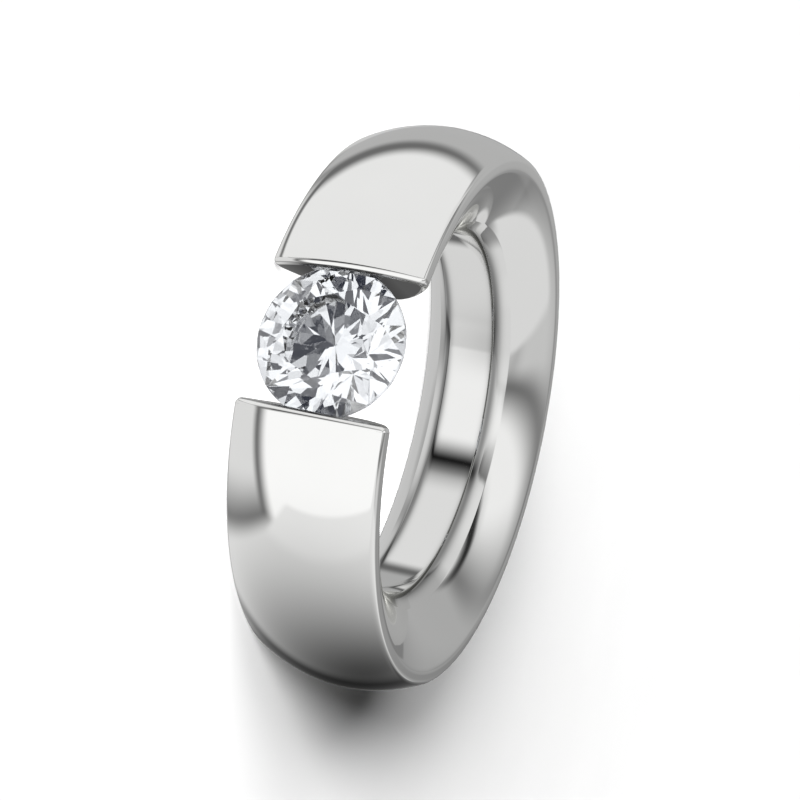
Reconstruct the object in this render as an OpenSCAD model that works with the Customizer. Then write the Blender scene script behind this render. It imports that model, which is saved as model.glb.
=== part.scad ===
// Finger ring of polished white metal with a round brilliant stone.
// The ring lies on its side: the finger hole runs along +Z and the lower rim is at Z = 0.
// The band is open at the stone, which is gripped between the two ends of the band.
// The stone faces -Y. The origin is on the axis of the finger hole. Lengths are in mm.

/* [Finger hole] */
// Diameter of the narrowest part of the finger hole
bore_d = 17; // [15:0.5:20]
// Width of the straight part of the hole, from ridge to ridge
bore_w = 2.54; // [2.2:0.02:2.8]
// Width between the two outer ridges, where the hole begins to flare
ridge_w = 3.72; // [3.5:0.02:4]
// Height of the outer ridges above the straight part of the hole
ridge_rise = 0.55; // [0.45:0.05:0.7]
// Height of the sharp mouth of the flare above the straight part of the hole
mouth_rise = 3.13; // [2.8:0.01:3.2]
// Height above a straight flare of the corner that the flare's own curve rounds
flare_bulge = 0.26; // [0.14:0.02:0.3]
// Radius of the flare's curve
flare_r = 7.5; // [5:0.5:8]

/* [Band] */
// Width of the band along the finger
band_w = 6.76; // [6.6:0.02:7.2]
// Thickness of the band at its crest
band_t = 4.6; // [4.5:0.02:4.8]
// Radius of the crown curve across the band
crown_r = 6.8; // [6.6:0.1:8]
// Radius of the rounding between crown and rim
rim_round = 0.36; // [0.3:0.01:0.4]
// Radius of the rounding between rim and flare
mouth_round = 0.8; // [0.4:0.05:1]
// Radius of the rounding on the inner ridges
inner_round = 0.65; // [0.3:0.05:0.8]
// Radius of the rounding on the outer ridges
outer_round = 0.5; // [0.2:0.05:0.8]

/* [Gap] */
// Distance of the right end face from the stone's axis, at the height of the girdle
right_gap = 2.9; // [2.75:0.01:3]
// Lean of the right end face towards the stone's axis, in degrees
right_lean = 11; // [6:1:13]
// Distance of the left end face from the stone's axis, at the height of the girdle
left_gap = 2.96; // [2.8:0.01:3.05]
// Lean of the left end face towards the stone's axis, in degrees
left_lean = -2; // [-3:1:4]
// Turn of the left end face about the stone's axis, in degrees: its top is further from the stone
left_skew = 2; // [0:0.5:3]

/* [Stone] */
// Diameter of the stone at its girdle
stone_d = 6.46; // [6.3:0.02:6.6]
// Distance of the girdle from the middle of the finger hole, beyond the hole's radius
stone_rise = 3.03; // [3:0.01:3.2]
// Sideways place of the stone
stone_x = -0.05; // [-0.08:0.01:0.05]
// Turn of the facets about the stone's axis, in degrees
stone_turn = 0; // [0:1:44]
// Diameter of the table, as a share of the girdle
table_share = 0.56; // [0.5:0.01:0.65]
// Slope of the crown's main facets, in degrees
crown_slope = 34.5; // [30:0.5:37]
// Slope of the pavilion's main facets, in degrees
pavilion_slope = 40.8; // [39:0.2:41]
// Height of the girdle between the tips of the main facets
girdle_t = 0.22; // [0.16:0.01:0.3]
// Clearance between the stone and its seats in the band
seat_gap = 0.03; // [0.02:0.01:0.06]

/* [Hidden] */
$fn = 180;

bore_r = bore_d / 2;
half_w = band_w / 2;
crest_r = bore_r + band_t;
stone_r = stone_d / 2;
girdle_y = -(bore_r + stone_rise);
// Size of the blocks that cut whole halves away
big = 40;
// How far the section's first outline reaches past the crest
margin = 1;
// How far a rounding's circle stands proud of the sides it rounds, so that it crosses them cleanly
lift = 0.0005;

// Direction of an angle in a plane
function way(a) = [cos(a), sin(a)];
// Angle of the direction from one point to another
function angle_of(p, q) = atan2(q.y - p.y, q.x - p.x);
// Centre of a rounding of radius r in the convex corner c between the points p and q
function round_centre(p, c, q, r) =
    let (a = angle_of(c, p), b = angle_of(c, q), m = way(a) + way(b))
    c + m / norm(m) * r / sin(acos(way(a) * way(b)) / 2);
// Point where that rounding leaves the side from c towards p
function round_end(p, c, q, r) =
    let (a = angle_of(c, p), b = angle_of(c, q))
    c + way(a) * r / tan(acos(way(a) * way(b)) / 2);
// Mirror image of a list of points about the middle of the band, in reverse order
function flip(pts) = [for (i = [len(pts) - 1:-1:0]) [pts[i].x, -pts[i].y]];

// Sharp corners of the section, as [radius, height], from the hole out to the rim
hole_mid = [bore_r, 0];
inner_ridge = [bore_r, bore_w / 2];
outer_ridge = [bore_r + ridge_rise, ridge_w / 2];
mouth = [bore_r + mouth_rise, half_w];
flare_way = (mouth - outer_ridge) / norm(mouth - outer_ridge);
flare_peak = (outer_ridge + mouth) / 2 + [-flare_way.y, flare_way.x] * flare_bulge;
// Centre of the crown curve, and the centre and the ends of the rounding at the rim
crown_c = [crest_r - crown_r, 0];
rim_c = [
    crown_c.x + sqrt(pow(crown_r - rim_round, 2) - pow(half_w - rim_round, 2)),
    half_w - rim_round
];
rim_top = [rim_c.x, half_w];
rim_dir = (rim_c - crown_c) / norm(rim_c - crown_c);
rim_side = rim_c + rim_dir * rim_round;

// What a rounding of radius r about c takes off, between the directions of the points p and q
module corner_bit(c, r, p, q) {
    dp = (p - c) / norm(p - c);
    dq = (q - c) / norm(q - c);
    reach = 2 * r;
    difference() {
        polygon([c, c + dp * reach, c + (dp + dq) * reach, c + dq * reach]);
        translate(c) circle(r + lift);
    }
}

// What comes off the sharp corner c between the points p and q
module corner_off(p, c, q, r) {
    corner_bit(round_centre(p, c, q, r), r, round_end(p, c, q, r), round_end(q, c, p, r));
}

// What comes off the corners of one half of the section
module half_corners() {
    corner_off(hole_mid, inner_ridge, outer_ridge, inner_round);
    corner_off(inner_ridge, outer_ridge, flare_peak, outer_round);
    corner_off(outer_ridge, flare_peak, mouth, flare_r);
    corner_off(flare_peak, mouth, rim_top, mouth_round);
    corner_bit(rim_c, rim_round, rim_top, rim_side);
}

// Section of the band: straight hole, flares, rims and domed crown
module band_section() {
    half_outline = [inner_ridge, outer_ridge, flare_peak, mouth, [crest_r + margin, half_w]];
    difference() {
        intersection() {
            polygon(concat(half_outline, flip(half_outline)));
            translate(crown_c) circle(crown_r);
        }
        half_corners();
        mirror([0, 1]) half_corners();
    }
}

// Block of space on one side of an end face, on the side of the stone
module beside_face(side, gap, lean, skew) {
    translate([side * gap, girdle_y, 0])
        rotate([0, side * skew, 0])
            rotate([0, 0, side * lean])
                translate([side > 0 ? -big : 0, -big / 2, -big / 2])
                    cube([big, big, big]);
}

// Gap in the band, between its two end faces
module gap() {
    intersection() {
        beside_face(1, right_gap, right_lean, 0);
        beside_face(-1, left_gap, left_lean, left_skew);
        translate([-big / 4, -big, -big / 2]) cube([big / 2, big, big]);
    }
}

// Space for the stone: its girdle with the clearance, and a cone above and below it
module seat() {
    r = stone_r + seat_gap;
    h = girdle_t / 2 + seat_gap;
    at_stone() rotate_extrude() polygon([[0, -h - r], [r, -h], [r, h], [0, h + r]]);
}

// Takes a shape about +Z to the stone's place, facing away from the finger hole
module at_stone() {
    translate([stone_x, girdle_y, half_w]) rotate([90, 0, 0]) children();
}

// Polished band, open at the stone and grooved to grip its girdle
module band() {
    color("silver")
        difference() {
            translate([0, 0, half_w])
                difference() {
                    rotate_extrude() band_section();
                    gap();
                }
            seat();
        }
}

// Heights and radii of the cut
table_r = stone_r * table_share;
table_z = girdle_t / 2 + (stone_r - table_r) * tan(crown_slope);
// Half the angle between main facets, and half of that again
half_turn = 22.5;
quarter_turn = 11.25;
// Tips of the star facets lie halfway between the table's edge and the girdle
star_in = table_r * cos(half_turn);
star_out = (star_in + stone_r) / 2;
star_z = girdle_t / 2 + (stone_r - star_out * cos(half_turn)) * tan(crown_slope);
star_slope = atan((table_z - star_z) / (star_out - star_in));
upper_slope = atan((star_z - girdle_t / 2) / ((stone_r - star_out) * cos(quarter_turn)));
// Lower girdle facets reach most of the way from the girdle to the culet
lower_reach = 0.77;
lower_in = stone_r * (1 - lower_reach);
lower_z = (stone_r - lower_in * cos(half_turn)) * tan(pavilion_slope);
lower_slope = atan(lower_z / ((stone_r - lower_in) * cos(quarter_turn)));
culet_z = -girdle_t / 2 - stone_r * tan(pavilion_slope);
// Distance of the girdle's chords from the axis, where the facets beside the girdle begin
chord_r = stone_r * cos(quarter_turn);
// Points round the girdle between one facet's corner and the next
girdle_steps = 6;

// Point at radius r, angle a and height z
function at(r, a, z) = [r * cos(a), r * sin(a), z];
// How far a facet of the slope s bites into the round girdle at a degrees past its middle
function scallop(a, s) = (stone_r * cos(a) - chord_r) * tan(s);

// Round brilliant about +Z, with its girdle about Z = 0: the hull of its facets' corners
module brilliant() {
    g = girdle_t / 2;
    step = half_turn / girdle_steps;
    bites = [
        for (k = [0:15], j = [0:girdle_steps - 1])
            [k * half_turn + j * step, j * step - quarter_turn]
    ];
    corners = concat(
        [for (k = [0:7]) at(table_r, 2 * k * half_turn, table_z)],
        [for (k = [0:7]) at(star_out, (2 * k + 1) * half_turn, star_z)],
        [for (b = bites) at(stone_r, b[0], g - scallop(b[1], upper_slope))],
        [for (b = bites) at(stone_r, b[0], scallop(b[1], lower_slope) - g)],
        [for (k = [0:7]) at(lower_in, (2 * k + 1) * half_turn, -g - lower_z)],
        [[0, 0, culet_z]]
    );
    hull() polyhedron(corners, [for (i = [0:len(corners) - 3]) [i, i + 1, i + 2]]);
}

// Clear faceted stone
module stone() {
    color("lightcyan") at_stone() rotate([0, 0, stone_turn]) brilliant();
}

band();
stone();
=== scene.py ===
"""Looks of a wide polished finger ring with a round brilliant stone gripped between its ends.

The band is spun from its section and opened at the stone, with softly rounded ends. The stone
keeps its CAD facets. The stage is a pale floor under a plain soft studio light.
"""

import logging
import math
from dataclasses import dataclass, field
from enum import Enum

import bmesh
import bpy
from mathutils import Matrix, Vector


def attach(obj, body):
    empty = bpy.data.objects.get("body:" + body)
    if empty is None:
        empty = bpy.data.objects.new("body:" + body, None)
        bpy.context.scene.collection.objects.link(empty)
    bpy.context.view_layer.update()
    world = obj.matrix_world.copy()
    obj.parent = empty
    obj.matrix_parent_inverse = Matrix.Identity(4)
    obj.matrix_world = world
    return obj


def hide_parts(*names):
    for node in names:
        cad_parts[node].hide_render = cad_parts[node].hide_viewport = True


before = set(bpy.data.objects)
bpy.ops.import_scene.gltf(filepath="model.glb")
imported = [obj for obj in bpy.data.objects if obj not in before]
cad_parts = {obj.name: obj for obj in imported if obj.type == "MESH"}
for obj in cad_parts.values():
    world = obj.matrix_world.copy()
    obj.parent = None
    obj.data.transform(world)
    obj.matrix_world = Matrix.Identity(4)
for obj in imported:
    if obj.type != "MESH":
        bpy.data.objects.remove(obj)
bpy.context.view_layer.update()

LOG = logging.getLogger("ring")
MM = 0.001

# Sizes and places that several of the classes share, in mm
BORE_R = 8.5
BAND_W = 6.76
BAND_T = 4.6
STONE_X = -0.05
STONE_RISE = 3.03
GIRDLE_Y = -(BORE_R + STONE_RISE)

# Distance below which two points of a mesh become one, in mm
MERGE = 1e-4

Pair = tuple[float, float]
Triple = tuple[float, float, float]
Socket = bpy.types.NodeSocket
Value = Socket | float | tuple[float, ...]


class End(Enum):
    """The two ends of the band, named as seen with the stone in front and the hole upright."""

    RIGHT = 1
    LEFT = -1


class Side(Enum):
    """The parts of the band's surface that are polished in their own way."""

    OUTSIDE = "outside"
    HOLE = "hole"
    END = "end"


class Mixed(Enum):
    """What a mix node mixes: its data type, and the places of its two inputs and its result."""

    NUMBERS = ("FLOAT", 2, 3, 0)
    COLOURS = ("RGBA", 6, 7, 2)


@dataclass
class NodeKit:
    """Adds and joins shader nodes in one tree.

    Attributes:
        owner: The material or world that owns the tree.
    """

    owner: bpy.types.ID

    @classmethod
    def start(cls, owner: bpy.types.ID) -> "NodeKit":
        """Clear the tree of a new material or world.

        Args:
            owner: The material or the world.
        """
        owner.use_nodes = True
        owner.node_tree.nodes.clear()
        return cls(owner)

    def add(self, kind: str, **settings: str) -> bpy.types.Node:
        """Add a node.

        Args:
            kind: Type of the node.
            settings: Its properties, by name.

        Returns:
            The node.
        """
        node = self.owner.node_tree.nodes.new(kind)
        for key, value in settings.items():
            setattr(node, key, value)
        return node

    def link(self, source: Value, target: Socket) -> None:
        """Join two sockets, or set the second one to a fixed value.

        Args:
            source: An output, a number or a colour.
            target: An input.
        """
        if isinstance(source, Socket):
            self.owner.node_tree.links.new(source, target)
        else:
            target.default_value = source

    def place(self) -> Socket:
        """Give the socket of the object's own coordinates."""
        return self.add("ShaderNodeTexCoord").outputs["Object"]

    def split(self, vector: Socket) -> tuple[Socket, ...]:
        """Take a vector apart.

        Args:
            vector: The vector's socket.

        Returns:
            The sockets of its three coordinates.
        """
        node = self.add("ShaderNodeSeparateXYZ")
        self.link(vector, node.inputs["Vector"])
        return tuple(node.outputs)

    def length(self, vector: Socket) -> Socket:
        """Measure a vector.

        Args:
            vector: The vector's socket.

        Returns:
            The socket of its length.
        """
        node = self.add("ShaderNodeVectorMath", operation="LENGTH")
        self.link(vector, node.inputs[0])
        return node.outputs["Value"]

    def facing(self, vector: Socket, way: Vector) -> Socket:
        """Give the dot product of a vector and a fixed direction.

        Args:
            vector: The vector's socket.
            way: The fixed direction.

        Returns:
            The product's socket.
        """
        node = self.add("ShaderNodeVectorMath", operation="DOT_PRODUCT")
        self.link(vector, node.inputs[0])
        node.inputs[1].default_value = way
        return node.outputs["Value"]

    def math(self, operation: str, first: Value, second: Value = 0.0) -> Socket:
        """Work out a number from one or two others.

        Args:
            operation: Name of the operation.
            first: Its first value.
            second: Its second value.

        Returns:
            The result's socket.
        """
        node = self.add("ShaderNodeMath", operation=operation)
        self.link(first, node.inputs[0])
        self.link(second, node.inputs[1])
        return node.outputs["Value"]

    def bell(self, away: Socket) -> Socket:
        """Draw a bell curve.

        Args:
            away: Distance from its middle, in half widths.

        Returns:
            Socket that is 1 in the middle and falls to 0 away from it.
        """
        square = self.math("MULTIPLY", away, away)
        return self.math("EXPONENT", self.math("MULTIPLY", square, -0.5))

    def noise(self, place: Socket, scale: float, detail: float) -> Socket:
        """Add a noise from 0 to 1.

        Args:
            place: Where the noise is read.
            scale: Its cycles per metre.
            detail: Number of finer layers.

        Returns:
            The noise's socket.
        """
        node = self.add("ShaderNodeTexNoise")
        node.inputs["Scale"].default_value = scale
        node.inputs["Detail"].default_value = detail
        self.link(place, node.inputs["Vector"])
        return node.outputs["Fac"]

    def ramp(self, value: Socket, span: Pair, result: Pair, shape: str = "SMOOTHSTEP") -> Socket:
        """Map a span of values to another one.

        Args:
            value: The value that is mapped.
            span: Start and end of the span that it is read over.
            result: What the start and the end of the span become.
            shape: Way of going from the one to the other.

        Returns:
            The result's socket.
        """
        node = self.add("ShaderNodeMapRange", interpolation_type=shape)
        for key, number in zip(("From Min", "From Max", "To Min", "To Max"), (*span, *result)):
            node.inputs[key].default_value = number
        self.link(value, node.inputs["Value"])
        return node.outputs["Result"]

    def mix(self, kind: Mixed, share: Value, first: Value, second: Value) -> Socket:
        """Mix two numbers or two colours.

        Args:
            kind: Which of the two.
            share: Share of the second one.
            first: The first one.
            second: The second one.

        Returns:
            The mix's socket.
        """
        data_type, one, other, result = kind.value
        node = self.add("ShaderNodeMix", data_type=data_type)
        self.link(share, node.inputs["Factor"])
        self.link(first, node.inputs[one])
        self.link(second, node.inputs[other])
        return node.outputs[result]

    def mix_shaders(self, share: Value, first: Socket, second: Socket) -> Socket:
        """Mix two shaders.

        Args:
            share: Share of the second shader.
            first: The first shader.
            second: The second shader.

        Returns:
            The mixed shader's socket.
        """
        node = self.add("ShaderNodeMixShader")
        self.link(share, node.inputs["Fac"])
        self.link(first, node.inputs[1])
        self.link(second, node.inputs[2])
        return node.outputs["Shader"]

    def finish(self, shader: Socket, kind: str = "ShaderNodeOutputMaterial") -> None:
        """Join the shader to the tree's output.

        Args:
            shader: The shader's socket.
            kind: Type of the output node.
        """
        output = self.add(kind)
        self.link(shader, output.inputs["Surface"])


def opaque(colour: Triple) -> tuple[float, ...]:
    """Give a colour its full alpha."""
    return (*colour, 1.0)


@dataclass(frozen=True)
class Polish:
    """Mirror polish of white metal, with faint wheel marks that run round the ring, and an even
    painted glow in place of repeated reflections.

    Attributes:
        name: Name of the material.
        tint: Colour of the reflections.
        deepest: Share of the tint taken away where the dimming mask is 1: uneven polish on the
            outside, painted shade in the hole and on the ends.
        shine: Lowest and highest roughness.
        shine_span: Sums of the two noises at which the roughness is lowest and highest.
        marks: Depth of the wheel marks, in metres.
        marks_share: Share of that depth that shows.
        marks_scale: Wheel marks per metre, along X, Y and Z.
        marks_detail: Number of finer layers in the wheel marks.
        clouds_scale: Faint patches per metre.
        clouds_detail: Number of finer layers in the patches.
        clouds_share: Share of the patches that a mask with its own shape takes up.
        mirrors: Number of times that light is mirrored before it turns into an even painted glow.
        glow: Colour of that painted glow, which stands in for further reflections.
    """

    name: str
    tint: Triple
    deepest: float = 0.03
    shine: Pair = (0.02, 0.05)
    shine_span: Pair = (0.6, 1.4)
    marks: float = 1.5e-7
    marks_share: float = 0.5
    marks_scale: Triple = (60.0, 60.0, 5200.0)
    marks_detail: float = 3.0
    clouds_scale: float = 420.0
    clouds_detail: float = 2.0
    clouds_share: float = 0.02
    mirrors: int = 2
    glow: Triple = (0.18, 0.18, 0.17)

    def material(self) -> bpy.types.Material:
        """Build the finish as a material.

        Returns:
            The material.
        """
        kit = NodeKit.start(bpy.data.materials.new(self.name))
        place = kit.place()
        streak = kit.add("ShaderNodeMapping")
        streak.inputs["Scale"].default_value = self.marks_scale
        kit.link(place, streak.inputs["Vector"])
        lines = kit.noise(streak.outputs["Vector"], 1.0, self.marks_detail)
        clouds = kit.noise(place, self.clouds_scale, self.clouds_detail)
        dim = opaque(tuple(c * (1.0 - self.deepest) for c in self.tint))
        shade = kit.mix(Mixed.COLOURS, self.dimming(kit, place, clouds), opaque(self.tint), dim)
        painted_glow_mask = self.painted_glow_mask(kit)
        black = opaque((0.0, 0.0, 0.0))
        bump = kit.add("ShaderNodeBump")
        bump.inputs["Distance"].default_value = self.marks
        bump.inputs["Strength"].default_value = self.marks_share
        kit.link(lines, bump.inputs["Height"])
        metal = kit.add("ShaderNodeBsdfPrincipled")
        metal.inputs["Metallic"].default_value = 1.0
        metal.inputs["Emission Color"].default_value = opaque(self.glow)
        gloss = kit.ramp(kit.math("ADD", lines, clouds), self.shine_span, self.shine)
        kit.link(gloss, metal.inputs["Roughness"])
        # Painted reflection: where the glow mask is 1 the metal turns black and gives off an even
        # grey glow instead of mirroring
        kit.link(kit.mix(Mixed.COLOURS, painted_glow_mask, shade, black), metal.inputs["Base Color"])
        kit.link(painted_glow_mask, metal.inputs["Emission Strength"])
        kit.link(bump.outputs["Normal"], metal.inputs["Normal"])
        kit.finish(metal.outputs["BSDF"])
        return kit.owner

    def painted_glow_mask(self, kit: NodeKit) -> Socket:
        """Build the mask of the painted glow that ends the mirroring of the band in itself.

        Args:
            kit: The material's nodes.

        Returns:
            Socket that is 1 where the painted glow replaces the reflection: light mirrored often
            enough, outside the stone.
        """
        path = kit.add("ShaderNodeLightPath")
        often = kit.math("GREATER_THAN", path.outputs["Glossy Depth"], self.mirrors - 1.0)
        outside = kit.math("LESS_THAN", path.outputs["Transmission Depth"], 1.0)
        return kit.math("MULTIPLY", often, outside)

    def dimming(self, kit: NodeKit, place: Socket, clouds: Socket) -> Socket:
        """Build the mask of the dimmer parts: the faint patches here, painted shade in the hole and
        on the ends.

        Args:
            kit: The material's nodes.
            place: Socket of the object's coordinates.
            clouds: Socket of the faint patches.

        Returns:
            Socket that is 0 where the polish is clean and 1 where it is dimmest.
        """
        return clouds


@dataclass(frozen=True)
class HolePolishPaintedShade(Polish):
    """Polish of the finger hole, with a soft dark line of painted shade along each inner ridge.

    Attributes:
        middle: Height of the middle of the band, in metres.
        line: Distance of the painted shade lines from that height, in metres.
        spread: Half width of the painted shade lines, in metres.
    """

    middle: float = BAND_W / 2 * MM
    line: float = 0.00126
    spread: float = 0.00016

    def dimming(self, kit: NodeKit, place: Socket, clouds: Socket) -> Socket:
        """Build the mask of the painted shade lines, with the faint patches.

        Args:
            kit: The material's nodes.
            place: Socket of the object's coordinates.
            clouds: Socket of the faint patches.

        Returns:
            Socket that is 1 in the middle of a line.
        """
        _, _, z = kit.split(place)
        height = kit.math("ABSOLUTE", kit.math("SUBTRACT", z, self.middle))
        # Painted shade: a bell of darkness on each side of the middle, along the inner ridges
        away = kit.math("DIVIDE", kit.math("SUBTRACT", height, self.line), self.spread)
        return kit.math("ADD", kit.bell(away), kit.math("MULTIPLY", clouds, self.clouds_share))


@dataclass(frozen=True)
class EndPolishPaintedShade(Polish):
    """Polish of the ends of the band, with painted shade beside the stone and towards larger heights.

    Attributes:
        centre: Place of the stone's axis, as x and z in metres.
        reach: Distances from that axis where the painted shade is deepest and where it ends, in
            metres.
        rise: Heights between which painted shade grows over the part away from the stone, in metres.
        top: Strength of that painted shade above those heights.
    """

    centre: Pair = (STONE_X * MM, BAND_W / 2 * MM)
    reach: Pair = (0.0031, 0.0044)
    rise: Pair = (0.0015, 0.0055)
    top: float = 0.62

    def dimming(self, kit: NodeKit, place: Socket, clouds: Socket) -> Socket:
        """Build the mask of the painted shade beside the stone and at larger heights, with the faint
        patches.

        Args:
            kit: The material's nodes.
            place: Socket of the object's coordinates.
            clouds: Socket of the faint patches.

        Returns:
            Socket that is 1 at the stone and falls away from it.
        """
        x, _, z = kit.split(place)
        across = kit.math("SUBTRACT", x, self.centre[0])
        along = kit.math("SUBTRACT", z, self.centre[1])
        squares = (kit.math("MULTIPLY", away, away) for away in (across, along))
        distance = kit.math("SQRT", kit.math("ADD", *squares))
        # Painted shade: darkest at the stone's axis, and growing with height away from it
        near = kit.ramp(distance, self.reach, (1.0, 0.0))
        high = kit.ramp(z, self.rise, (0.0, self.top))
        both = kit.math("MAXIMUM", near, high)
        return kit.math("ADD", both, kit.math("MULTIPLY", clouds, self.clouds_share))


@dataclass(frozen=True)
class Brilliance:
    """Clear cut stone with polished facets and a faintly frosted girdle.

    Attributes:
        name: Name of the material.
        index: Index of refraction.
        tint: Colour of the light that passes through.
        girdle_y: Place of the girdle along the stone's axis, in metres.
        girdle_edge: Distances from that place between which the frost fades, in metres.
        frost: Roughness of the frosted girdle.
        haze: Highest roughness of the facets.
        haze_span: Values of the noise between which the haze grows.
        haze_scale: Cycles of the haze per metre.
        haze_detail: Number of finer layers in the haze.
    """

    name: str = "clear_stone"
    index: float = 2.16
    tint: Triple = (0.985, 0.992, 1.0)
    girdle_y: float = GIRDLE_Y * MM
    girdle_edge: Pair = (0.00009, 0.000144)
    frost: float = 0.22
    haze: float = 0.004
    haze_span: Pair = (0.4, 0.7)
    haze_scale: float = 900.0
    haze_detail: float = 2.0

    def material(self) -> bpy.types.Material:
        """Build the finish as a material.

        Returns:
            The material.
        """
        kit = NodeKit.start(bpy.data.materials.new(self.name))
        place = kit.place()
        _, y, _ = kit.split(place)
        depth = kit.math("ABSOLUTE", kit.math("SUBTRACT", y, self.girdle_y))
        edge = kit.ramp(depth, self.girdle_edge, (self.frost, 0.0))
        noise = kit.noise(place, self.haze_scale, self.haze_detail)
        facets = kit.ramp(noise, self.haze_span, (0.0, self.haze))
        body = kit.add("ShaderNodeBsdfPrincipled")
        body.inputs["Base Color"].default_value = opaque(self.tint)
        body.inputs["Transmission Weight"].default_value = 1.0
        body.inputs["IOR"].default_value = self.index
        kit.link(kit.math("ADD", edge, facets), body.inputs["Roughness"])
        kit.finish(body.outputs["BSDF"])
        return kit.owner


@dataclass(frozen=True)
class FloorPaint:
    """Matt white paint with a faint grain, and painted light inside the finger hole: it glows there
    so that the ring's shade on it stays white.

    Attributes:
        name: Name of the material.
        shades: Darkest and lightest shade of the grain.
        grain_span: Values of the noise at those two shades.
        grain_scale: Cycles of the grain per metre.
        grain_detail: Number of finer layers in the grain.
        rough: Roughness.
        gloss: Specular level.
        glow: Strength of the painted glow in the middle.
        painted_light_patch: Distances from the middle between which the painted glow fades, in
            metres.
    """

    name: str = "floor_white"
    shades: Pair = (0.80, 0.82)
    grain_span: Pair = (0.3, 0.7)
    grain_scale: float = 60.0
    grain_detail: float = 4.0
    rough: float = 0.9
    gloss: float = 0.1
    glow: float = 1.0
    painted_light_patch: Pair = (0.0105, 0.0125)

    def material(self) -> bpy.types.Material:
        """Build the paint as a material.

        Returns:
            The material.
        """
        kit = NodeKit.start(bpy.data.materials.new(self.name))
        place = kit.place()
        grain = kit.noise(place, self.grain_scale, self.grain_detail)
        paint = kit.add("ShaderNodeBsdfPrincipled")
        paint.inputs["Roughness"].default_value = self.rough
        paint.inputs["Specular IOR Level"].default_value = self.gloss
        paint.inputs["Emission Color"].default_value = opaque((1.0, 1.0, 1.0))
        shade = kit.ramp(grain, self.grain_span, self.shades, "LINEAR")
        kit.link(shade, paint.inputs["Base Color"])
        # Painted light: the floor glows under the finger hole, fading out beneath the band
        glow = kit.ramp(kit.length(place), self.painted_light_patch, (self.glow, 0.0))
        kit.link(glow, paint.inputs["Emission Strength"])
        kit.finish(paint.outputs["BSDF"])
        return kit.owner


@dataclass(frozen=True)
class PaintedShadowSpot:
    """Painted shadow: a black spot on clear ground, which thins out from its middle; the polish
    mirrors it as a contact shadow beside the crest.

    Attributes:
        name: Name of the material.
        strength: Share of light that its middle takes away.
        centre: Its middle, as y and z in mm.
        spread: Half widths of its bell curve, along y and z before its turn, in mm.
        turn: Its turn in its own plane, in degrees.
    """

    name: str = "painted_shadow_spot"
    strength: float = 0.93
    centre: Pair = (-1.8, 5.3)
    spread: Pair = (5.6, 4.3)
    turn: float = 35.0

    def material(self, x: float) -> bpy.types.Material:
        """Build the painted shadow spot as a material.

        Args:
            x: Place of its card along X, in mm.

        Returns:
            The material.
        """
        kit = NodeKit.start(bpy.data.materials.new(self.name))
        spot = kit.add("ShaderNodeMapping", vector_type="TEXTURE")
        spot.inputs["Location"].default_value = (x * MM, *(c * MM for c in self.centre))
        spot.inputs["Rotation"].default_value = (math.radians(self.turn), 0.0, 0.0)
        spot.inputs["Scale"].default_value = (1.0, *(c * MM for c in self.spread))
        kit.link(kit.place(), spot.inputs["Vector"])
        fade = kit.bell(kit.length(spot.outputs["Vector"]))
        clear = kit.add("ShaderNodeBsdfTransparent").outputs["BSDF"]
        black = kit.add("ShaderNodeEmission")
        black.inputs["Strength"].default_value = 0.0
        share = kit.math("MULTIPLY", fade, self.strength)
        kit.finish(kit.mix_shaders(share, clear, black.outputs["Emission"]))
        return kit.owner


def settle(piece: bpy.types.Object) -> None:
    """Apply a piece's modifiers to its mesh.

    Args:
        piece: The object whose modifiers are applied and removed.
    """
    graph = bpy.context.evaluated_depsgraph_get()
    mesh = bpy.data.meshes.new_from_object(piece.evaluated_get(graph))
    piece.modifiers.clear()
    piece.data = mesh


def make_object(name: str, bm: bmesh.types.BMesh) -> bpy.types.Object:
    """Turn a mesh in mm into a smooth object in metres.

    Args:
        name: Name of the object.
        bm: The mesh, which is freed.

    Returns:
        The object, linked to the scene, at the origin.
    """
    bmesh.ops.scale(bm, verts=bm.verts, vec=(MM, MM, MM))
    mesh = bpy.data.meshes.new(name)
    bm.to_mesh(mesh)
    bm.free()
    mesh.shade_smooth()
    piece = bpy.data.objects.new(name, mesh)
    bpy.context.scene.collection.objects.link(piece)
    return piece


def spin_about_z(bm: bmesh.types.BMesh, angle: float, steps: int) -> None:
    """Spin a whole mesh about the z axis, and close it after a full turn.

    Args:
        bm: The mesh that is spun.
        angle: Turn of the spin, in radians.
        steps: Number of steps in the spin.
    """
    full = angle == math.tau
    bmesh.ops.spin(
        bm,
        geom=bm.verts[:] + bm.edges[:],
        cent=(0.0, 0.0, 0.0),
        axis=(0.0, 0.0, 1.0),
        angle=angle,
        steps=steps,
        use_merge=full,
        use_duplicate=False,
    )
    if full:
        bmesh.ops.remove_doubles(bm, verts=bm.verts, dist=MERGE)
        bmesh.ops.recalc_face_normals(bm, faces=bm.faces)


@dataclass
class Pen:
    """Draws a chain of edges in the plane y = 0.

    Attributes:
        bm: The mesh that the chain is drawn in.
        tip: The last vertex of the chain.
    """

    bm: bmesh.types.BMesh
    tip: bmesh.types.BMVert

    def line_to(self, place: Vector, steps: int) -> None:
        """Draw a straight run to a place.

        Args:
            place: Where the run ends.
            steps: Number of edges in the run.
        """
        move = (place - self.tip.co) / steps
        for _ in range(steps):
            made = bmesh.ops.extrude_vert_indiv(self.bm, verts=[self.tip])
            self.tip = made["verts"][0]
            bmesh.ops.translate(self.bm, verts=[self.tip], vec=move)

    def arc(self, centre: Vector, angle: float, steps: int) -> None:
        """Draw an arc about a centre.

        Args:
            centre: The centre of the arc.
            angle: Turn about -Y, from +x towards +z, in radians.
            steps: Number of edges in the arc.
        """
        made = bmesh.ops.spin(
            self.bm,
            geom=[self.tip],
            cent=centre,
            axis=(0.0, -1.0, 0.0),
            angle=angle,
            steps=steps,
            use_duplicate=False,
        )
        self.tip = next(v for v in made["geom_last"] if isinstance(v, bmesh.types.BMVert))


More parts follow.
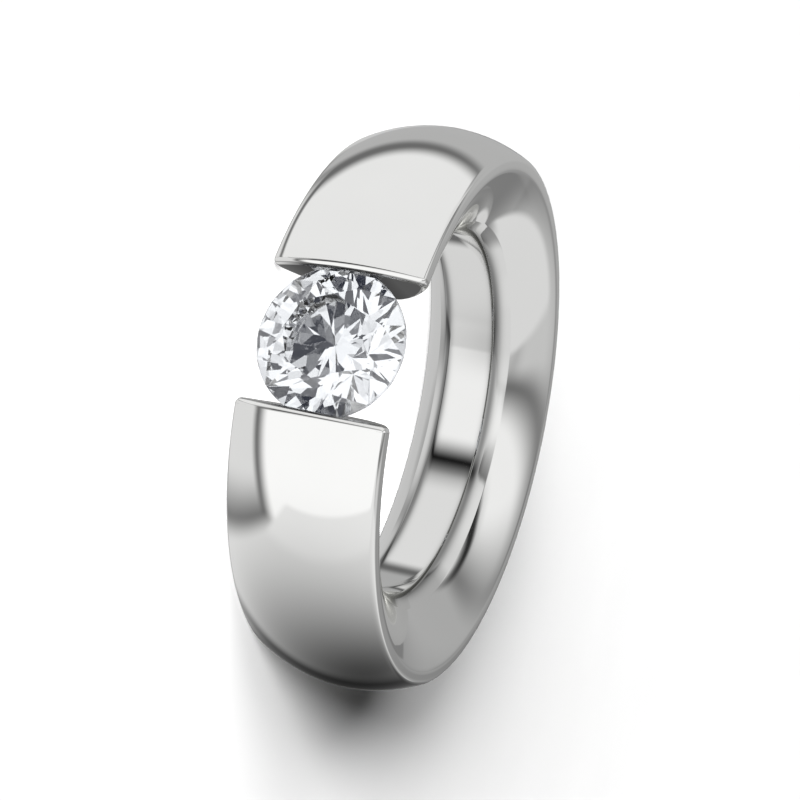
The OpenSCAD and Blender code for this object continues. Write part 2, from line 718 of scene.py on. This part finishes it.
@dataclass(frozen=True)
class EndFace:
    """A flat end face of the band.

    Attributes:
        gap: Distance from the stone's axis at the height of the girdle, in mm.
        lean: Lean towards the stone's axis, in degrees.
        skew: Turn about the stone's axis, in degrees.
    """

    gap: float
    lean: float
    skew: float = 0.0


@dataclass
class Section:
    """The band's cross-section, drawn in the plane y = 0 with the radius along x, in mm.

    Attributes:
        bore_r: Radius of the finger hole.
        bore_w: Width of the straight part of the hole.
        ridge_w: Width between the two outer ridges.
        ridge_rise: Height of the outer ridges above the straight part.
        mouth_rise: Height of the sharp mouth of the flare above the straight part.
        flare_bulge: Height of the flare's sharp corner above a straight flare.
        flare_r: Radius of the flare's curve.
        band_w: Width of the band.
        band_t: Thickness of the band at its crest.
        crown_r: Radius of the crown curve across the band.
        rim_round: Radius of the rounding between crown and rim.
        mouth_round: Radius of the rounding between rim and flare.
        inner_round: Radius of the rounding on the inner ridges.
        outer_round: Radius of the rounding on the outer ridges.
    """

    bore_r: float = BORE_R
    bore_w: float = 2.54
    ridge_w: float = 3.72
    ridge_rise: float = 0.55
    mouth_rise: float = 3.13
    flare_bulge: float = 0.26
    flare_r: float = 7.5
    band_w: float = BAND_W
    band_t: float = BAND_T
    crown_r: float = 6.8
    rim_round: float = 0.36
    mouth_round: float = 0.8
    inner_round: float = 0.65
    outer_round: float = 0.5

    def half_w(self) -> float:
        """Give half the width of the band."""
        return self.band_w / 2

    def crown_centre(self) -> Vector:
        """Give the centre of the crown curve."""
        return Vector((self.bore_r + self.band_t - self.crown_r, 0.0, 0.0))

    def rim_centre(self) -> Vector:
        """Find the centre of the rounding between the rim and the crown.

        Returns:
            The centre, in the upper half.
        """
        rise = self.half_w() - self.rim_round
        reach = math.sqrt((self.crown_r - self.rim_round) ** 2 - rise**2)
        return Vector((self.crown_centre().x + reach, 0.0, rise))

    def corners(self) -> list[tuple[Vector, float]]:
        """Find the rounded corners of the upper half.

        Returns:
            Each corner as a point and the radius of its rounding, from the hole to the rim.
        """
        ridge = Vector((self.bore_r + self.ridge_rise, 0.0, self.ridge_w / 2))
        mouth = Vector((self.bore_r + self.mouth_rise, 0.0, self.half_w()))
        way = (mouth - ridge).normalized()
        peak = (ridge + mouth) / 2 + Vector((-way.z, 0.0, way.x)) * self.flare_bulge
        return [
            (Vector((self.bore_r, 0.0, self.bore_w / 2)), self.inner_round),
            (ridge, self.outer_round),
            (peak, self.flare_r),
            (mouth, self.mouth_round),
        ]


@dataclass
class Band:
    """The polished band: a spun section, opened at the stone and grooved for it.

    Attributes:
        section: Its cross-section.
        faces: Its two end faces.
        girdle_y: Place of the stone's girdle along Y, in mm.
        edge_round: Radius of the rounding along the edges of the end faces, in mm.
        edge_steps: Number of faces across that rounding.
        open_turn: Turn from the stone's axis to each end of the spin, in degrees.
        turn_step: Turn between two rings of points, in degrees.
        run_steps: Number of edges in each straight run of the section, from hole to rim.
        arc_step: Turn of one edge in a rounding, in degrees.
        arc_edge: Longest edge wanted in a rounding, in mm.
        arc_least: Least number of edges in a rounding.
        rim_steps: Number of edges between the rim and the crown.
        crown_steps: Number of edges in half the crown.
        crease: Sharpest turn that is shaded smoothly, in degrees.
        end_share: Share of a face's normal that runs round the ring, above which it is an end.
        hole_share: Share that points to the hole's axis, above which it may be in the hole.
        rim_zone: Height of the zone at each rim where that share alone decides, in mm.
    """

    section: Section = field(default_factory=Section)
    faces: dict[End, EndFace] = field(
        default_factory=lambda: {
            End.RIGHT: EndFace(gap=2.9, lean=11.0),
            End.LEFT: EndFace(gap=2.96, lean=-2.0, skew=2.0),
        }
    )
    girdle_y: float = GIRDLE_Y
    edge_round: float = 0.3
    edge_steps: int = 6
    open_turn: float = 20.0
    turn_step: float = 1.25
    run_steps: tuple[int, ...] = (4, 3, 1, 1, 3)
    arc_step: float = 3.0
    arc_edge: float = 0.2
    arc_least: int = 5
    rim_steps: int = 16
    crown_steps: int = 24
    crease: float = 40.0
    end_share: float = 0.75
    hole_share: float = 0.17
    rim_zone: float = 0.3

    def arc_steps(self, turn: float, radius: float) -> int:
        """Choose the number of edges in a rounding.

        Args:
            turn: Its turn, in radians.
            radius: Its radius, in mm.

        Returns:
            A number that is enough for its turn and for its length.
        """
        by_turn = round(math.degrees(turn) / self.arc_step)
        by_length = round(turn * radius / self.arc_edge)
        return max(self.arc_least, by_turn, by_length)

    def outline(self, bm: bmesh.types.BMesh) -> None:
        """Draw the closed outline of the section.

        Args:
            bm: The empty mesh that takes the outline.
        """
        s = self.section
        rim = s.rim_centre()
        crown = s.crown_centre()
        corners = s.corners()
        stops = [Vector((s.bore_r, 0.0, 0.0)), *(corner for corner, _ in corners)]
        stops.append(Vector((rim.x, 0.0, s.half_w())))
        pen = Pen(bm, bm.verts.new(stops[0]))
        for i, (corner, radius) in enumerate(corners):
            back = (stops[i] - corner).normalized()
            on = (stops[i + 2] - corner).normalized()
            half = back.angle(on) / 2
            pen.line_to(corner + back * radius / math.tan(half), self.run_steps[i])
            centre = corner + (back + on).normalized() * radius / math.sin(half)
            turn = math.pi - 2 * half
            pen.arc(centre, -turn, self.arc_steps(turn, radius))
        pen.line_to(stops[-1], self.run_steps[-1])
        slope = math.atan2(rim.z, rim.x - crown.x)
        pen.arc(rim, slope - math.pi / 2, self.rim_steps)
        pen.arc(crown, -slope, self.crown_steps)
        bmesh.ops.mirror(bm, geom=bm.verts[:] + bm.edges[:], axis="Z", merge_dist=MERGE)
        bmesh.ops.remove_doubles(bm, verts=bm.verts, dist=MERGE)

    def angle_at(self, end: End, radius: float, height: float) -> float:
        """Find where an end face meets a circle about the finger hole.

        Args:
            end: Which end of the band.
            radius: Radius of the circle, in mm.
            height: Height of the circle above the middle of the band, in mm.

        Returns:
            Angle from the stone's axis to the face, in radians, always positive.
        """
        face = self.faces[end]
        lean = math.radians(face.lean)
        skew = math.radians(end.value * face.skew)
        normal = Vector((math.cos(lean), end.value * math.sin(lean), 0.0))
        normal.rotate(Matrix.Rotation(skew, 3, "Y"))
        level = normal.dot(Vector((end.value * face.gap, self.girdle_y, 0.0)))
        a, b = normal.x * radius, -normal.y * radius
        reach = math.hypot(a, b)
        turn = math.asin(max(-1.0, min(1.0, (level - normal.z * height) / reach)))
        return end.value * (turn - math.atan2(b, a))

    def spin_round(self, bm: bmesh.types.BMesh) -> None:
        """Spin the outline round the finger hole and bend its last rings onto the end faces.

        Args:
            bm: The mesh that holds the outline.
        """
        start = math.radians(self.open_turn)
        reach = math.tau - 2 * start
        to_start = Matrix.Rotation(start - math.pi / 2, 3, "Z")
        bmesh.ops.rotate(bm, verts=bm.verts, cent=(0.0, 0.0, 0.0), matrix=to_start)
        spin_about_z(bm, reach, round(math.degrees(reach) / self.turn_step))
        for v in bm.verts:
            radius = math.hypot(v.co.x, v.co.y)
            turn = math.atan2(v.co.x, -v.co.y) % math.tau
            share = (turn - start) / reach
            right = self.angle_at(End.RIGHT, radius, v.co.z)
            left = math.tau - self.angle_at(End.LEFT, radius, v.co.z)
            place = right + (left - right) * share
            v.co.x, v.co.y = radius * math.sin(place), -radius * math.cos(place)

    def round_ends(self, bm: bmesh.types.BMesh) -> None:
        """Close the two ends of the band and round their edges.

        Args:
            bm: The open band.
        """
        rims = [e for e in bm.edges if e.is_boundary]
        ends = bmesh.ops.edgeloop_fill(bm, edges=rims)["faces"]
        bmesh.ops.recalc_face_normals(bm, faces=bm.faces)
        bmesh.ops.bevel(
            bm,
            geom=list({e for f in ends for e in f.edges}),
            offset=self.edge_round,
            segments=self.edge_steps,
            profile=0.5,
            affect="EDGES",
            material=-1,
            clamp_overlap=False,
        )

    def build(self, seat: bpy.types.Object) -> bpy.types.Object:
        """Make the band's mesh.

        Args:
            seat: The solid that is cut out of the ends for the stone; it is removed.

        Returns:
            The band as an object at the origin, in metres.
        """
        bm = bmesh.new()
        self.outline(bm)
        self.spin_round(bm)
        self.round_ends(bm)
        half = self.section.half_w()
        for v in bm.verts:
            v.co.z = max(-half, min(half, v.co.z))
        bmesh.ops.translate(bm, verts=bm.verts, vec=(0.0, 0.0, half))
        band = make_object("band_polished", bm)
        cut = band.modifiers.new("seat", "BOOLEAN")
        cut.operation = "DIFFERENCE"
        cut.solver = "EXACT"
        cut.object = seat
        settle(band)
        bpy.data.objects.remove(seat)
        band.data.set_sharp_from_angle(angle=math.radians(self.crease))
        level = band.modifiers.new("flat faces", "WEIGHTED_NORMAL")
        level.keep_sharp = True
        settle(band)
        return band

    def dress(self, band: bpy.types.Object, finishes: dict[Side, Polish]) -> None:
        """Give each side of the band its finish.

        Args:
            band: The band's object.
            finishes: The finish of each side.
        """
        band.data.materials.clear()
        for finish in finishes.values():
            band.data.materials.append(finish.material())
        order = list(finishes)
        for face in band.data.polygons:
            face.material_index = order.index(self.side_of(face))

    def side_of(self, face: bpy.types.MeshPolygon) -> Side:
        """Say which side of the band a face belongs to.

        Args:
            face: A face of the band, in metres.

        Returns:
            Its side.
        """
        s = self.section
        centre = face.center / MM
        out = Vector((centre.x, centre.y, 0.0))
        around = abs(face.normal.x * out.y - face.normal.y * out.x) / out.length
        if around > self.end_share and centre.y < 0.0:
            return Side.END
        inwards = -face.normal.dot(out.normalized())
        near_rim = abs(centre.z - s.half_w()) > s.half_w() - self.rim_zone
        if inwards > self.hole_share and (near_rim or out.length < s.bore_r + s.mouth_rise):
            return Side.HOLE
        return Side.OUTSIDE


@dataclass
class Stone:
    """The round brilliant. Its facets are the CAD node's own; this class finishes and seats it.

    Attributes:
        place: Middle of its girdle, in mm.
        girdle_r: Radius of its girdle, in mm.
        girdle_t: Height of the girdle, in mm.
        seat_gap: Clearance between the stone and its seats, in mm.
        seat_steps: Number of sides of the seats' cutter.
    """

    place: Triple = (STONE_X, GIRDLE_Y, BAND_W / 2)
    girdle_r: float = 3.23
    girdle_t: float = 0.22
    seat_gap: float = 0.03
    seat_steps: int = 192

    def seat(self) -> bpy.types.Object:
        """Make the solid that grooves the band's ends.

        Returns:
            The cutter, in metres.
        """
        bm = bmesh.new()
        r = self.girdle_r + self.seat_gap
        h = self.girdle_t / 2 + self.seat_gap
        pen = Pen(bm, bm.verts.new((0.0, 0.0, -h - r)))
        for x, z in ((r, -h), (r, h), (0.0, h + r)):
            pen.line_to(Vector((x, 0.0, z)), 1)
        spin_about_z(bm, math.tau, self.seat_steps)
        turn = Matrix.Rotation(math.pi / 2, 4, "X")
        bmesh.ops.transform(bm, matrix=Matrix.Translation(self.place) @ turn, verts=bm.verts)
        return make_object("seat_cutter", bm)

    def dress(self, cut: bpy.types.Object, finish: Brilliance) -> None:
        """Give the stone its finish.

        Args:
            cut: The CAD node's object.
            finish: The finish of its facets and its girdle.
        """
        material = finish.material()
        for slot in cut.material_slots:
            slot.material = material


def sky_way(azimuth: float, elevation: float) -> Vector:
    """Give the direction of an azimuth and an elevation.

    Args:
        azimuth: Degrees from -Y towards +X.
        elevation: Degrees above the floor.

    Returns:
        The direction, of length 1.
    """
    a, e = math.radians(azimuth), math.radians(elevation)
    return Vector((math.sin(a) * math.cos(e), -math.cos(a) * math.cos(e), math.sin(e)))


@dataclass(frozen=True)
class Softbox:
    """A distant light panel with straight edges.

    Attributes:
        glow: Its brightness.
        corners: Azimuth and elevation of its corners, in order round it.
        soft: Half width of the fade at each edge, in degrees, from each corner to the next.
    """

    glow: float
    corners: tuple[Pair, ...]
    soft: tuple[float, ...]

    def mask(self, kit: NodeKit, way: Socket) -> Socket:
        """Build the panel's share at each direction.

        Args:
            kit: The world's nodes.
            way: Socket of the direction.

        Returns:
            Socket that is 1 inside the panel and 0 outside.
        """
        ways = [sky_way(*corner) for corner in self.corners]
        middle = sum(ways, Vector()).normalized()
        share: Value = 1.0
        for i, soft in enumerate(self.soft):
            edge = ways[i].cross(ways[(i + 1) % len(ways)]).normalized()
            edge *= math.copysign(1.0, edge.dot(middle))
            reach = math.sin(math.radians(soft))
            inside = kit.ramp(kit.facing(way, edge), (-reach, reach), (0.0, 1.0))
            share = kit.math("MULTIPLY", inside, share)
        return share


@dataclass
class Sky:
    """The soft light all round: panels for the polish, and small cards for the stone.

    Attributes:
        dark: Brightness between the panels.
        panels: The panels, each painted over those before it.
        floor_light: Share of this light that falls on the floor.
        cards_scale: Number of small cards along the radius of the sky.
        cards_span: Random values at which a card is dimmest and brightest.
        cards_dim: Colour of the dimmest card.
        cards_bright: Colour of the brightest card.
    """

    dark: float = 0.15
    panels: dict[str, Softbox] = field(
        default_factory=lambda: {
            "low back": Softbox(
                0.22, ((171.4, 20), (-153, 18), (-148, -34), (175.7, -36.8)), (1.5, 8, 3.4, 1)
            ),
            "far back": Softbox(
                0.60, ((-147, -14.8), (160, -31.8), (154.4, -65.6), (-132, -45)), (4.5, 8, 8, 4.6)
            ),
            "high back": Softbox(
                0.62, ((77.8, 72.3), (-170.3, 51), (170, 12), (141.7, 27.7)), (4, 14, 16, 12)
            ),
            "left back": Softbox(
                0.45, ((-106.4, 34.4), (-174.8, 36.4), (-167.7, 4), (-126.7, -43)), (6, 16, 0.7, 4)
            ),
            "under": Softbox(
                0.72, ((-118.3, -43.8), (-14, -57.8), (64.2, -45.3), (140.3, -65)), (1, 3, 9, 9)
            ),
            "side": Softbox(
                0.75, ((64.4, -30.3), (150.2, -56.6), (153.3, 21.6), (39.5, 67.8)), (4, 7, 4.4, 1.2)
            ),
            "window": Softbox(0.78, ((98, 67), (171, 51), (171, 12), (113, 41)), (1.5, 2, 1.5, 2)),
            "over": Softbox(0.97, ((-105.2, 52.5), (-158.9, 49.5), (29.6, 37)), (16, 7.8, 7.8)),
            "bar": Softbox(0.0, ((-27, -45), (-4, -45), (-8, 58), (-30, 60)), (3, 3, 3, 3)),
            "left": Softbox(
                0.82, ((-102.4, 55.0), (-33.5, 62.3), (-25.5, -60.4), (-111, -46)), (1.2, 12, 1, 5)
            ),
            "left top": Softbox(
                0.73, ((-93.6, 57.3), (-124.4, 36.8), (-126, 34.9), (-88, 27)), (0.6, 1.7, 5, 8)
            ),
            "left slot": Softbox(
                0.03, ((-80, 66), (-126, 38.3), (-128, 32.5), (-79, 61.6)), (1.4, 5, 1.2, 4)
            ),
            "slot end": Softbox(
                0.03, ((-72, 70), (-97, 60.6), (-97, 57), (-72, 63)), (1.3, 3, 1.2, 4)
            ),
            "front": Softbox(
                0.99, ((-31, 62.4), (48.2, 67.2), (68.4, -34.3), (0.5, -52.6)), (1.5, 3, 5, 8.5)
            ),
            "side edge": Softbox(0.82, ((57, -25), (76, -37), (76, 64), (57, 68)), (2, 4, 5, 1.5)),
        }
    )
    floor_light: float = 0.01
    cards_scale: float = 2.8
    cards_span: Pair = (0.2, 0.85)
    cards_dim: Triple = (0.03, 0.034, 0.05)
    cards_bright: Triple = (1.15, 1.17, 1.2)

    def build(self) -> None:
        """Paint the panels and the cards round the scene."""
        world = bpy.data.worlds.new("softboxes")
        bpy.context.scene.world = world
        kit = NodeKit.start(world)
        way = kit.add("ShaderNodeTexCoord").outputs["Generated"]
        glow: Value = self.dark
        for panel in self.panels.values():
            glow = kit.mix(Mixed.NUMBERS, panel.mask(kit, way), glow, panel.glow)
        ray = kit.add("ShaderNodeLightPath")
        share = kit.ramp(ray.outputs["Is Diffuse Ray"], (0.0, 1.0), (1.0, self.floor_light), "LINEAR")
        light = kit.add("ShaderNodeBackground")
        light.inputs["Color"].default_value = opaque((1.0, 1.0, 1.0))
        kit.link(kit.math("MULTIPLY", glow, share), light.inputs["Strength"])
        cards = kit.add("ShaderNodeBackground")
        kit.link(self.patchwork(kit, way), cards.inputs["Color"])
        inside = ray.outputs["Is Transmission Ray"]
        both = kit.mix_shaders(inside, light.outputs["Background"], cards.outputs["Background"])
        kit.finish(both, "ShaderNodeOutputWorld")

    def patchwork(self, kit: NodeKit, way: Socket) -> Socket:
        """Build the bright and dim cards that only the stone's facets pick up.

        Args:
            kit: The world's nodes.
            way: Socket of the direction.

        Returns:
            Socket of their colour.
        """
        cards = kit.add("ShaderNodeTexVoronoi")
        cards.inputs["Scale"].default_value = self.cards_scale
        kit.link(way, cards.inputs["Vector"])
        value, _, _ = kit.split(cards.outputs["Color"])
        share = kit.ramp(value, self.cards_span, (0.0, 1.0))
        return kit.mix(Mixed.COLOURS, share, opaque(self.cards_dim), opaque(self.cards_bright))


@dataclass(frozen=True)
class Lamp:
    """A large distant lamp, which throws a soft shadow on the floor.

    Attributes:
        name: Its name.
        way: Azimuth and elevation that it shines from, in degrees.
        strength: Its strength.
        spread: Angle that it fills in the sky, in degrees.
        distance: How far from the ring it is drawn, in metres.
    """

    name: str
    way: Pair
    strength: float
    spread: float
    distance: float = 0.5

    def hang(self) -> bpy.types.Object:
        """Put the lamp in the scene, hidden from the polish and the stone.

        Returns:
            The lamp's object.
        """
        light = bpy.data.lights.new(self.name, "SUN")
        light.energy = self.strength
        light.angle = math.radians(self.spread)
        lamp = bpy.data.objects.new(self.name, light)
        bpy.context.scene.collection.objects.link(lamp)
        way = sky_way(*self.way)
        lamp.location = way * self.distance
        lamp.rotation_euler = way.to_track_quat("Z", "Y").to_euler()
        lamp.visible_glossy = False
        lamp.visible_transmission = False
        return lamp


@dataclass
class Floor:
    """The pale floor, which curves up into a wall all round.

    Attributes:
        size: Distance of the wall, in mm.
        curve: Radius of the curve between floor and wall, in mm.
        height: Height of the wall, in mm.
        rings: Numbers of rings in the flat part, the curve and the wall.
        sides: Number of sides.
        paint: Its paint.
    """

    size: float = 1400.0
    curve: float = 350.0
    height: float = 1000.0
    rings: tuple[int, int, int] = (24, 16, 4)
    sides: int = 96
    paint: FloorPaint = field(default_factory=FloorPaint)

    def build(self) -> bpy.types.Object:
        """Make the floor, hidden from the polish and the stone.

        Returns:
            The floor's object.
        """
        bm = bmesh.new()
        flat, curve, wall = self.rings
        foot = self.size - self.curve
        pen = Pen(bm, bm.verts.new((0.0, 0.0, 0.0)))
        pen.line_to(Vector((foot, 0.0, 0.0)), flat)
        pen.arc(Vector((foot, 0.0, self.curve)), math.pi / 2, curve)
        pen.line_to(Vector((self.size, 0.0, self.height)), wall)
        spin_about_z(bm, math.tau, self.sides)
        floor = make_object("floor", bm)
        floor.data.materials.append(self.paint.material())
        floor.visible_glossy = False
        floor.visible_transmission = False
        floor.visible_diffuse = False
        floor.visible_shadow = False
        return floor


@dataclass
class PaintedShadowCard:
    """The card beside the ring, whose painted shadow spot only the polish reflects.

    Attributes:
        gap: Distance from the crest of the band, in mm.
        size: Length of its sides, in mm.
        spot: Its painted shadow spot.
    """

    gap: float = 0.08
    size: float = 40.0
    spot: PaintedShadowSpot = field(default_factory=PaintedShadowSpot)

    def build(self) -> bpy.types.Object:
        """Make the card.

        Returns:
            The card's object.
        """
        x = BORE_R + BAND_T + self.gap
        bm = bmesh.new()
        upright = Matrix.Rotation(math.pi / 2, 4, "Y")
        bmesh.ops.create_grid(bm, x_segments=1, y_segments=1, size=self.size / 2)
        place = Matrix.Translation((x, 0.0, 0.0))
        bmesh.ops.transform(bm, matrix=place @ upright, verts=bm.verts)
        card = make_object("painted_shadow_card", bm)
        card.data.materials.append(self.spot.material(x))
        # Painted shadow: the card shows only in the polish's reflections
        card.visible_camera = False
        card.visible_diffuse = False
        card.visible_transmission = False
        card.visible_shadow = False
        return card


@dataclass
class Camera:
    """The camera at the photograph's angle.

    Attributes:
        place: Its place, in mm.
        forward: The direction that it looks in.
        up: The direction of the top of the picture.
        lens: Focal length, in mm.
        clip: Nearest and furthest distance that it sees, in metres.
    """

    place: Triple = (15.62, -88.43, 33.97)
    forward: Triple = (-0.1678, 0.93002, -0.32697)
    up: Triple = (-0.95391, -0.23689, -0.18425)
    lens: float = 92.08
    clip: Pair = (0.005, 10.0)

    def build(self) -> None:
        """Put the camera in the scene."""
        data = bpy.data.cameras.new("camera")
        data.lens = self.lens
        data.clip_start, data.clip_end = self.clip
        camera = bpy.data.objects.new("camera", data)
        bpy.context.scene.collection.objects.link(camera)
        back = -Vector(self.forward).normalized()
        side = Vector(self.up).cross(back).normalized()
        axes = Matrix((side, back.cross(side), back)).transposed().to_4x4()
        camera.matrix_world = Matrix.Translation(Vector(self.place) * MM) @ axes
        bpy.context.scene.camera = camera


@dataclass
class Studio:
    """The whole stage: camera, soft light, pale floor, two lamps and a card with a painted shadow
    that only the polish reflects.

    Attributes:
        camera: The camera.
        sky: The soft light all round.
        floor: The floor.
        lamps: The lamps that throw shadows.
        card: The card beside the ring, with its painted shadow.
        bounces: Most bounces of light in all.
        mirror_bounces: Most bounces off polish, and most through the stone.
    """

    camera: Camera = field(default_factory=Camera)
    sky: Sky = field(default_factory=Sky)
    floor: Floor = field(default_factory=Floor)
    lamps: tuple[Lamp, ...] = (
        Lamp("key", way=(-35.0, 27.8), strength=3.4, spread=30.0),
        Lamp("low", way=(-10.6, 11.2), strength=12.2, spread=19.5),
    )
    card: PaintedShadowCard = field(default_factory=PaintedShadowCard)
    bounces: int = 24
    mirror_bounces: int = 16

    def build(self) -> None:
        """Set up the whole studio."""
        self.camera.build()
        self.sky.build()
        self.floor.build()
        for lamp in self.lamps:
            lamp.hang()
        self.card.build()
        scene = bpy.context.scene
        scene.view_settings.view_transform = "Standard"
        scene.cycles.max_bounces = self.bounces
        scene.cycles.glossy_bounces = self.mirror_bounces
        scene.cycles.transmission_bounces = self.mirror_bounces


def main() -> None:
    """Build the studio, the band and the stone, and report each piece."""
    logging.basicConfig(level=logging.INFO, format="%(name)s: %(message)s")
    Studio().build()
    stone = Stone()
    band = Band()
    piece = band.build(stone.seat())
    finishes = {
        Side.OUTSIDE: Polish("polished_outside", (0.97, 0.97, 0.958)),
        # Painted shade: the hole and the ends get darker tints than the outside, and deep dimming in
        # their masks
        Side.HOLE: HolePolishPaintedShade("polished_hole_painted_shade", (0.86, 0.86, 0.85), deepest=0.7),
        Side.END: EndPolishPaintedShade("polished_ends_painted_shade", (0.94, 0.94, 0.928), deepest=0.88),
    }
    band.dress(piece, finishes)
    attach(piece, "root")
    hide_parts("band")
    LOG.info("band_polished: %d faces", len(piece.data.polygons))
    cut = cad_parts["stone"]
    stone.dress(cut, Brilliance())
    LOG.info("stone: %d faces", len(cut.data.polygons))


if __name__ == "__main__":
    main()
